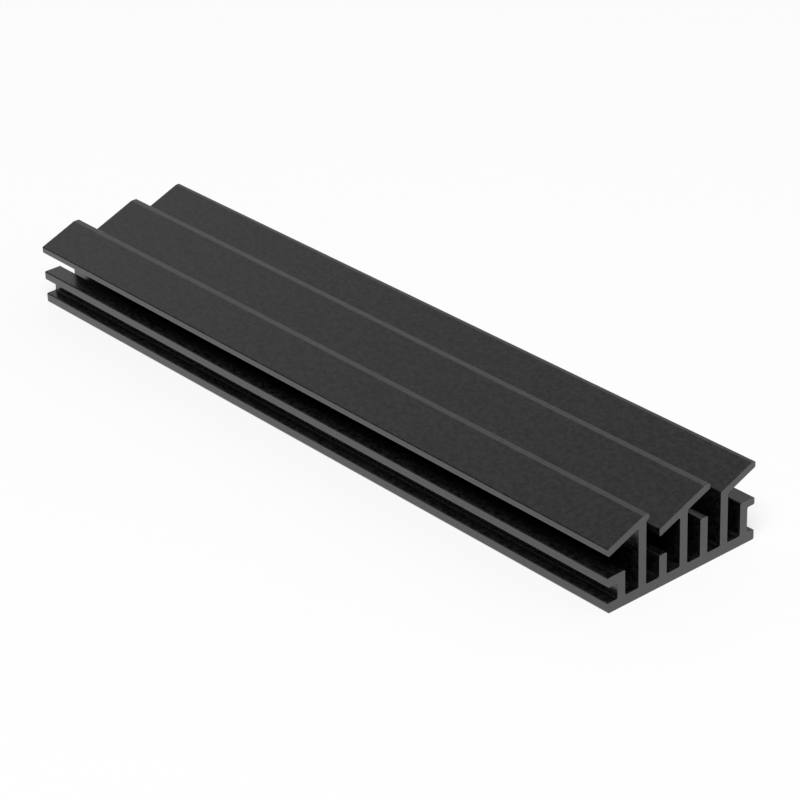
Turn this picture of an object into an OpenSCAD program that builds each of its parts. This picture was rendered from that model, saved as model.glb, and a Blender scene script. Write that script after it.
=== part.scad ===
// Heat sink for a plug-in storage module: one aluminium extrusion, sawn to length and anodised black.
// The section has a base plate, seven upright fins, a lip on each side and three sloping louvre plates.
// Length runs along X, width along Y. The front is -Y, where the lowest edge of the louvres is.
// The origin is the centre of the flat underside.

/* [Overall] */
// Length between the two sawn ends
length = 70; // [30:1:110]
// Width across the base plate
width = 14.9; // [14.5:0.1:20]
// Height from the underside to the flat tops of the louvres
height = 6.6; // [6.2:0.1:10]

/* [Base and fins] */
// Thickness of the base plate
base_t = 0.85; // [0.6:0.05:1.5]
// Distance between the centres of neighbouring fins
fin_pitch = 2.08; // [1.95:0.01:2.15]
// Distance of the middle fin behind the centre line
fin_shift = 0.1; // [-0.2:0.05:0.2]
// Thickness of a fin
fin_t = 0.75; // [0.5:0.05:1]
// Open height between the front lip's fin and the louvre above it
front_lip_clear = 2.2; // [1.6:0.05:2.6]
// Open height between the short fin under the middle louvre's low edge and that louvre
low_fin_clear = 1.7; // [1.4:0.05:2.4]
// Open height between the fin under the middle louvre's high edge and that louvre
high_fin_clear = 2; // [1.4:0.05:2.6]
// Open height between the rear lip's fin and the louvre above it
rear_lip_clear = 2.1; // [1.4:0.05:2.4]
// Thickness of the front lip
front_lip_t = 0.8; // [0.5:0.05:1]
// Thickness of the rear lip
rear_lip_t = 0.6; // [0.4:0.05:1]

/* [Louvres] */
// Thickness of a louvre plate
louvre_t = 0.6; // [0.45:0.05:0.9]
// Slope of the louvre plates
louvre_tilt = 21.25; // [16:0.25:25]
// Width of the level crest along the high edges of the front and middle louvres
crest_w = 0.6; // [0.35:0.05:0.8]
// Width of the level crest along the rear louvre's high edge
rear_crest_w = 0.4; // [0.35:0.05:0.8]
// Reach of the front louvre from its fin's centre to its high edge
front_rear_reach = 0.65; // [0.6:0.05:0.9]
// Reach of the middle louvre from its fin's centre to its low edge
mid_front_reach = 2.45; // [1.5:0.05:2.8]
// Reach of the middle louvre from its fin's centre to its high edge
mid_rear_reach = 2.65; // [1.5:0.05:2.8]
// Distance that the rear louvre's high edge stays inside the base's edge
rear_inset = 0; // [0:0.05:1.2]

/* [Edges] */
// Radius of the outer edges
edge_r = 0.12; // [0.05:0.01:0.18]
// Radius of the fillets where fins meet the base, the lips and the louvres
fillet_r = 0.15; // [0.05:0.01:0.3]

/* [Hidden] */

arc_steps = 4;
rise = tan(louvre_tilt);
louvre_drop = louvre_t / cos(louvre_tilt);
front = -width / 2;
rear = width / 2;

// Centre of fin number i, counted from the front
function fin_y(i) = fin_shift + (i - 4) * fin_pitch;

// Each louvre is [low edge, high edge, crest width]
front_louvre = [front, fin_y(2) + front_rear_reach, crest_w];
mid_louvre = [fin_y(4) - mid_front_reach, fin_y(4) + mid_rear_reach, crest_w];
rear_louvre = [fin_y(6) - fin_t / 2, rear - rear_inset, rear_crest_w];

// Height of a louvre's underside at y
function under(louvre, y) = height - (louvre[1] - louvre[2] - y) * rise - louvre_drop;

// Tops of the fins that stand free
front_lip_top = under(front_louvre, fin_y(1)) - front_lip_clear;
low_fin_top = under(mid_louvre, fin_y(3)) - low_fin_clear;
high_fin_top = under(mid_louvre, fin_y(5)) - high_fin_clear;
rear_lip_top = under(rear_louvre, fin_y(7)) - rear_lip_clear;

function unit(v) = v / norm(v);

// Arc of radius r that rounds the corner p between its neighbours a and b
function corner_arc(p, a, b, r) =
    let (u = unit(a - p), w = unit(b - p), half = acos(u * w) / 2)
    let (c = p + unit(u + w) * r / sin(half), from = p + u * r / tan(half) - c, to = p + w * r / tan(half) - c)
    let (start = atan2(from.y, from.x), sweep = (atan2(to.y, to.x) - start + 540) % 360 - 180)
    [for (i = [0 : arc_steps]) c + r * [cos(start + sweep * i / arc_steps), sin(start + sweep * i / arc_steps)]];

// Outline with its corners rounded
function rounded(pts) =
    let (n = len(pts))
    [for (i = [0 : n - 1]) each corner_arc(pts[i], pts[(i + n - 1) % n], pts[(i + 1) % n], edge_r)];

// Bar from corner low to corner high, with rounded edges
module bar(low, high) {
    polygon(rounded([low, [high.x, low.y], high, [low.x, high.y]]));
}

// Fillet in the inner corner p, between walls that run towards a and b
module fillet(p, a, b) {
    inside = p - unit(unit(a - p) + unit(b - p)) * fillet_r / 2;
    leftward = cross(a - p, b - p) > 0;
    polygon(concat([inside], corner_arc(p, leftward ? a : b, leftward ? b : a, fillet_r)));
}

module base_plate() {
    bar([front, 0], [rear, base_t]);
}

// Fillets on both sides of fin i, where it stands on the base plate
module foot(i) {
    for (side = [-1, 1]) {
        corner = [fin_y(i) + side * fin_t / 2, base_t];
        fillet(corner, corner + [0, 1], corner + [side, 0]);
    }
}

// Fin that stands free, with a rounded top
module fin(i, top) {
    y = fin_y(i);
    bar([y - fin_t / 2, base_t / 2], [y + fin_t / 2, top]);
    foot(i);
}

// Lip of thickness t that runs out from the top of fin i to the edge of the base
module lip(i, t, top, edge) {
    y = fin_y(i);
    side = sign(edge - y);
    bar([min(y, edge), top - t], [max(y, edge), top]);
    neck = [y + side * fin_t / 2, top - t];
    fillet(neck, neck - [0, 1], neck + [side, 0]);
}

// Sloping plate with an upright low edge and a level crest along its high edge
module louvre(span) {
    low = span[0];
    high = span[1];
    polygon(rounded([
        [low, under(span, low)],
        [high, under(span, high)],
        [high, height],
        [high - span[2], height],
        [low, under(span, low) + louvre_drop]
    ]));
}

// Fin that carries a louvre, with fillets on the sides where the louvre reaches past it
module carrier(i, span, sides) {
    y = fin_y(i);
    root = base_t / 2;
    top = under(span, y) + louvre_drop / 2;
    translate([y - fin_t / 2, root])
        square([fin_t, top - root]);
    foot(i);
    for (side = sides) {
        face = y + side * fin_t / 2;
        neck = [face, under(span, face)];
        fillet(neck, neck - [0, 1], neck + [side, side * rise]);
    }
}

module section() {
    base_plate();
    fin(1, front_lip_top);
    lip(1, front_lip_t, front_lip_top, front);
    carrier(2, front_louvre, [-1, 1]);
    louvre(front_louvre);
    fin(3, low_fin_top);
    carrier(4, mid_louvre, [-1, 1]);
    louvre(mid_louvre);
    fin(5, high_fin_top);
    carrier(6, rear_louvre, [1]);
    louvre(rear_louvre);
    fin(7, rear_lip_top);
    lip(7, rear_lip_t, rear_lip_top, rear);
}

module heat_sink() {
    color([0.07, 0.07, 0.075])
        rotate([90, 0, 90])
        linear_extrude(length, center = true)
        section();
}

heat_sink();
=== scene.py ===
from math import cos, radians, sin

import bpy
from mathutils import Matrix, Vector


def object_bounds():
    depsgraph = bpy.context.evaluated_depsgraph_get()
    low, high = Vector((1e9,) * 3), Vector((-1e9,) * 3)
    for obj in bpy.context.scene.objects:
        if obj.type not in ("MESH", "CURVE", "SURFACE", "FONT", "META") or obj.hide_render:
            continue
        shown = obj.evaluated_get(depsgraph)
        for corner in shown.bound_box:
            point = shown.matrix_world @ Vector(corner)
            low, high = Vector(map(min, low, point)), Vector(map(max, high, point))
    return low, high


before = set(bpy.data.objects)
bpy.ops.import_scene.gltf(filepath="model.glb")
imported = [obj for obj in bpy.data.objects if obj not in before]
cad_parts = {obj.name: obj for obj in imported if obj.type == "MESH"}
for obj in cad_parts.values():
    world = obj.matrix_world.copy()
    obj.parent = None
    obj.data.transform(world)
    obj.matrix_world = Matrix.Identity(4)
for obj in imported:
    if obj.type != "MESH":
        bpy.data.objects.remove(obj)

cad_box = [list(corner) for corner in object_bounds()]
low, high = (Vector(corner) for corner in cad_box)
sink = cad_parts["heat_sink"]

MM = 0.001

# Camera in degrees, placed by where the near front corner of the base stands in its view
CAMERA_AZIMUTH = -39.49
CAMERA_ELEVATION = 28.13
CAMERA_ROLL = -2.21
LENS_MM = 129.8
SENSOR_MM = 36.0
CORNER_DEPTH = 204.24 * MM
CORNER_RIGHT = 14.73 * MM
CORNER_UP = -15.14 * MM
CLIP_START = 0.001
CLIP_END = 10

# Backdrop: its strength at two heights (Z of the direction), and the share of it at two places from the
# rear to the camera's side (Y of the direction)
BACKDROP_FOOT = (sin(radians(36)), 0.64)
BACKDROP_HEAD = (sin(radians(67)), 0.22)
BACKDROP_REAR = (0.0, 1.0)
BACKDROP_FRONT = (-0.35, 0.12)

# One soft lamp high up on the camera's side: degrees, metres and watts
LAMP_AZIMUTH = -50
LAMP_ELEVATION = 62
LAMP_DISTANCE = 1.5
LAMP_SIZE = 0.9
LAMP_POWER = 19.0

# Floor: half its side in metres, the colour that takes the shadow, and the light that only the camera and
# reflections see
FLOOR_HALF = 3.0
FLOOR_COLOUR = 0.35
FLOOR_GLOW = 0.66

# Patterns in the finish: cycles per mm along X, Y and Z, then the noise's detail and roughness
FINE_LINES = ((0.02, 14.0, 14.0), 3.0, 0.6)
BROAD_LINES = ((0.01, 1.6, 1.6), 2.0, 0.5)
GRAIN = ((13.0, 13.0, 13.0), 2.0, 0.5)
SPECKLE = ((2.2, 2.8, 2.8), 4.0, 0.7)
MOTTLE = ((0.12, 0.35, 0.35), 3.0, 0.5)
FINE_SHARE = 0.6
BROAD_SHARE = 0.4

# Saw marks on the two ends: arcs about a centre in mm, with cycles per mm of radius, then the noise's
# detail and roughness. An end is where the normal's X passes from the first value to the second
SAW_CENTRE = (0.0, -40.0, 70.0)
SAW_MARKS = (9.0, 3.0, 0.6)
END_NORMAL = (0.6, 0.8)

# Painted highlight along the edges: the reach in metres, the cosines of the normal's turn from none
# of it to all of it, and the samples that find it
EDGE_REACH = 0.06 * MM
EDGE_TURN = (0.99, 0.8)
EDGE_SAMPLES = 6

# Colour: from the marks, from the speckle and a painted highlight at the edges. The last value is the share
# of blue
MARKS_RANGE = (0.6, 1.4)
TONE_MARKS = (0.0005, 0.0025)
TONE_SPECKLE_RANGE = (0.4, 0.6)
TONE_SPECKLE = (0.0, 0.0115)
TONE_EDGE_HIGHLIGHT = 0.008
TONE_BLUE = 1.04

# Roughness: from the marks, from the speckle and on the two ends. The last value is the refractive index
GLOSS_MARKS = (0.2, 0.26)
GLOSS_SPECKLE_RANGE = (0.35, 0.65)
GLOSS_SPECKLE = (-0.025, 0.035)
GLOSS_END = 0.05
OXIDE_IOR = 1.76

# Relief: strength and depth in metres
GRAIN_RELIEF = (0.8, 0.004 * MM)
LINE_RELIEF = (0.35, 0.006 * MM)


def direction(azimuth, elevation):
    """Unit vector towards an azimuth and an elevation in degrees."""
    az, el = radians(azimuth), radians(elevation)
    return Vector((cos(el) * cos(az), cos(el) * sin(az), sin(el)))


def make_camera():
    """A camera placed by where the near front corner of the base stands in its view."""
    roll = radians(CAMERA_ROLL)
    back = direction(CAMERA_AZIMUTH, CAMERA_ELEVATION)
    level = Vector((0, 0, 1)).cross(back).normalized()
    plumb = back.cross(level)
    right = level * cos(roll) + plumb * sin(roll)
    up = plumb * cos(roll) - level * sin(roll)
    corner = Vector((high.x, low.y, low.z))
    place = corner + back * CORNER_DEPTH - right * CORNER_RIGHT - up * CORNER_UP
    data = bpy.data.cameras.new("camera")
    data.lens = LENS_MM
    data.sensor_width = SENSOR_MM
    data.clip_start = CLIP_START
    data.clip_end = CLIP_END
    camera = bpy.data.objects.new("camera", data)
    camera.matrix_world = Matrix.Translation(place) @ Matrix((right, up, back)).transposed().to_4x4()
    bpy.context.scene.collection.objects.link(camera)
    bpy.context.scene.camera = camera


class Tree:
    """Short names for building a node tree."""

    def __init__(self, owner):
        owner.use_nodes = True
        self.nodes = owner.node_tree.nodes
        self.links = owner.node_tree.links
        self.nodes.clear()

    def add(self, kind, **settings):
        node = self.nodes.new(kind)
        for name, value in settings.items():
            setattr(node, name, value)
        return node

    def put(self, value, socket):
        """A constant or another node's output goes into a socket."""
        if isinstance(value, bpy.types.NodeSocket):
            self.links.new(value, socket)
        else:
            socket.default_value = value

    def math(self, operation, *values):
        node = self.add("ShaderNodeMath", operation=operation)
        for i, value in enumerate(values):
            self.put(value, node.inputs[i])
        return node.outputs[0]

    def vector(self, operation, *values):
        node = self.add("ShaderNodeVectorMath", operation=operation)
        for i, value in enumerate(values):
            self.put(value, node.inputs[i])
        return node.outputs["Value" if operation in ("LENGTH", "DOT_PRODUCT") else "Vector"]

    def remap(self, value, source, target):
        """The value's source range becomes the target range, and stops at its ends."""
        node = self.add("ShaderNodeMapRange")
        for i, number in enumerate((value, *source, *target)):
            self.put(number, node.inputs[i])
        return node.outputs[0]

    def noise(self, place, detail, roughness):
        node = self.add("ShaderNodeTexNoise")
        self.put(place, node.inputs["Vector"])
        node.inputs["Scale"].default_value = 1.0
        node.inputs["Detail"].default_value = detail
        node.inputs["Roughness"].default_value = roughness
        return node.outputs[0]

    def pattern(self, place, settings):
        """Noise over a place in millimetres, from one line of the patterns in the finish."""
        cycles, detail, roughness = settings
        return self.noise(self.vector("MULTIPLY", place, cycles), detail, roughness)

    def relief(self, height, settings, normal=None):
        """Bump of a given strength and depth, on top of another normal where there is one."""
        node = self.add("ShaderNodeBump")
        node.inputs["Strength"].default_value, node.inputs["Distance"].default_value = settings
        self.put(height, node.inputs["Height"])
        if normal:
            self.put(normal, node.inputs["Normal"])
        return node.outputs[0]


def black_anodised():
    """Dyed oxide over drawn aluminium, satin, with drawing lines along X and saw marks on the two ends."""
    material = bpy.data.materials.new("black_anodised")
    t = Tree(material)
    place = t.vector("SCALE", t.add("ShaderNodeTexCoord").outputs["Object"])
    place.node.inputs["Scale"].default_value = 1 / MM
    normal = t.add("ShaderNodeNewGeometry").outputs["Normal"]
    facing = t.add("ShaderNodeSeparateXYZ")
    t.put(normal, facing.inputs[0])
    on_end = t.remap(t.math("ABSOLUTE", facing.outputs["X"]), END_NORMAL, (0.0, 1.0))

    # Lines that the die draws along the length, fine ones and broad ones
    fine = t.math("MULTIPLY", t.pattern(place, FINE_LINES), FINE_SHARE)
    broad = t.math("MULTIPLY", t.pattern(place, BROAD_LINES), BROAD_SHARE)
    lines = t.math("ADD", fine, broad)

    # Saw marks: shallow arcs about a far centre
    cycles, detail, roughness = SAW_MARKS
    from_centre = t.vector("SUBTRACT", place, SAW_CENTRE)
    radius = t.vector("LENGTH", t.vector("MULTIPLY", from_centre, (0.0, 1.0, 1.0)))
    along_arc = t.add("ShaderNodeCombineXYZ")
    t.put(t.math("MULTIPLY", radius, cycles), along_arc.inputs["X"])
    saw = t.noise(along_arc.outputs[0], detail, roughness)

    # Saw marks on the ends, lines everywhere else
    mix = t.add("ShaderNodeMix", data_type="FLOAT")
    t.put(on_end, mix.inputs[0])
    t.put(lines, mix.inputs[2])
    t.put(saw, mix.inputs[3])
    marks = mix.outputs[0]

    # The grain of the etch, the speckle of the dye and its broad, faint unevenness
    grain = t.pattern(place, GRAIN)
    speckle = t.pattern(place, SPECKLE)
    uneven = t.math("ADD", marks, t.pattern(place, MOTTLE))

    # Painted highlight: a lighter tone along the edges, where the normal turns
    bevel = t.add("ShaderNodeBevel", samples=EDGE_SAMPLES)
    bevel.inputs["Radius"].default_value = EDGE_REACH
    edge_highlight = t.remap(t.vector("DOT_PRODUCT", bevel.outputs[0], normal), EDGE_TURN, (0.0, 1.0))

    tone = t.remap(uneven, MARKS_RANGE, TONE_MARKS)
    tone = t.math("ADD", tone, t.remap(speckle, TONE_SPECKLE_RANGE, TONE_SPECKLE))
    # The painted highlight along the edges lightens the tone
    tone = t.math("ADD", tone, t.math("MULTIPLY", edge_highlight, TONE_EDGE_HIGHLIGHT))
    colour = t.add("ShaderNodeCombineXYZ")
    t.put(tone, colour.inputs["X"])
    t.put(tone, colour.inputs["Y"])
    t.put(t.math("MULTIPLY", tone, TONE_BLUE), colour.inputs["Z"])

    gloss = t.remap(uneven, MARKS_RANGE, GLOSS_MARKS)
    gloss = t.math("ADD", gloss, t.remap(speckle, GLOSS_SPECKLE_RANGE, GLOSS_SPECKLE))
    gloss = t.math("ADD", gloss, t.math("MULTIPLY", on_end, GLOSS_END))

    shader = t.add("ShaderNodeBsdfPrincipled")
    shader.inputs["IOR"].default_value = OXIDE_IOR
    t.put(colour.outputs[0], shader.inputs["Base Color"])
    t.put(gloss, shader.inputs["Roughness"])
    t.put(t.relief(marks, LINE_RELIEF, t.relief(grain, GRAIN_RELIEF)), shader.inputs["Normal"])
    t.put(shader.outputs[0], t.add("ShaderNodeOutputMaterial").inputs["Surface"])
    return material


def make_floor():
    """A pale floor that the camera and reflections see as white, with the object's shadow on it."""
    r = FLOOR_HALF
    mesh = bpy.data.meshes.new("floor")
    mesh.from_pydata([(-r, -r, 0), (r, -r, 0), (r, r, 0), (-r, r, 0)], [], [(0, 1, 2, 3)])
    floor = bpy.data.objects.new("floor", mesh)
    bpy.context.scene.collection.objects.link(floor)
    floor.location.z = low.z
    material = bpy.data.materials.new("floor")
    t = Tree(material)
    diffuse = t.add("ShaderNodeBsdfDiffuse")
    diffuse.inputs["Color"].default_value = (FLOOR_COLOUR, FLOOR_COLOUR, FLOOR_COLOUR, 1)
    path = t.add("ShaderNodeLightPath").outputs
    seen = t.math("MAXIMUM", path["Is Camera Ray"], path["Is Glossy Ray"])
    seen = t.math("MAXIMUM", seen, path["Is Transmission Ray"])
    glow = t.add("ShaderNodeEmission")
    t.put(t.math("MULTIPLY", seen, FLOOR_GLOW), glow.inputs["Strength"])
    both = t.add("ShaderNodeAddShader")
    t.put(diffuse.outputs[0], both.inputs[0])
    t.put(glow.outputs[0], both.inputs[1])
    t.put(both.outputs[0], t.add("ShaderNodeOutputMaterial").inputs["Surface"])
    mesh.materials.append(material)


def make_world():
    """Backdrop that fades from its foot upwards, and from the rear to the camera's side."""
    world = bpy.data.worlds.new("world")
    t = Tree(world)
    towards = t.add("ShaderNodeSeparateXYZ")
    t.put(t.add("ShaderNodeTexCoord").outputs["Generated"], towards.inputs[0])
    light = t.remap(towards.outputs["Z"], *zip(BACKDROP_FOOT, BACKDROP_HEAD))
    share = t.remap(towards.outputs["Y"], *zip(BACKDROP_REAR, BACKDROP_FRONT))
    background = t.add("ShaderNodeBackground")
    t.put(t.math("MULTIPLY", light, share), background.inputs["Strength"])
    t.put(background.outputs[0], t.add("ShaderNodeOutputWorld").inputs["Surface"])
    bpy.context.scene.world = world


def make_lamp():
    """One large soft lamp on the camera's side, where no face in the main view mirrors it to the camera."""
    data = bpy.data.lights.new("softbox", "AREA")
    data.shape = "DISK"
    data.size = LAMP_SIZE
    data.energy = LAMP_POWER
    lamp = bpy.data.objects.new("softbox", data)
    towards = direction(LAMP_AZIMUTH, LAMP_ELEVATION)
    lamp.location = towards * LAMP_DISTANCE
    lamp.rotation_euler = towards.to_track_quat("Z", "Y").to_euler()
    bpy.context.scene.collection.objects.link(lamp)


make_camera()
sink.data.materials.clear()
sink.data.materials.append(black_anodised())
make_floor()
make_world()
make_lamp()
bpy.context.scene.view_settings.view_transform = "Standard"
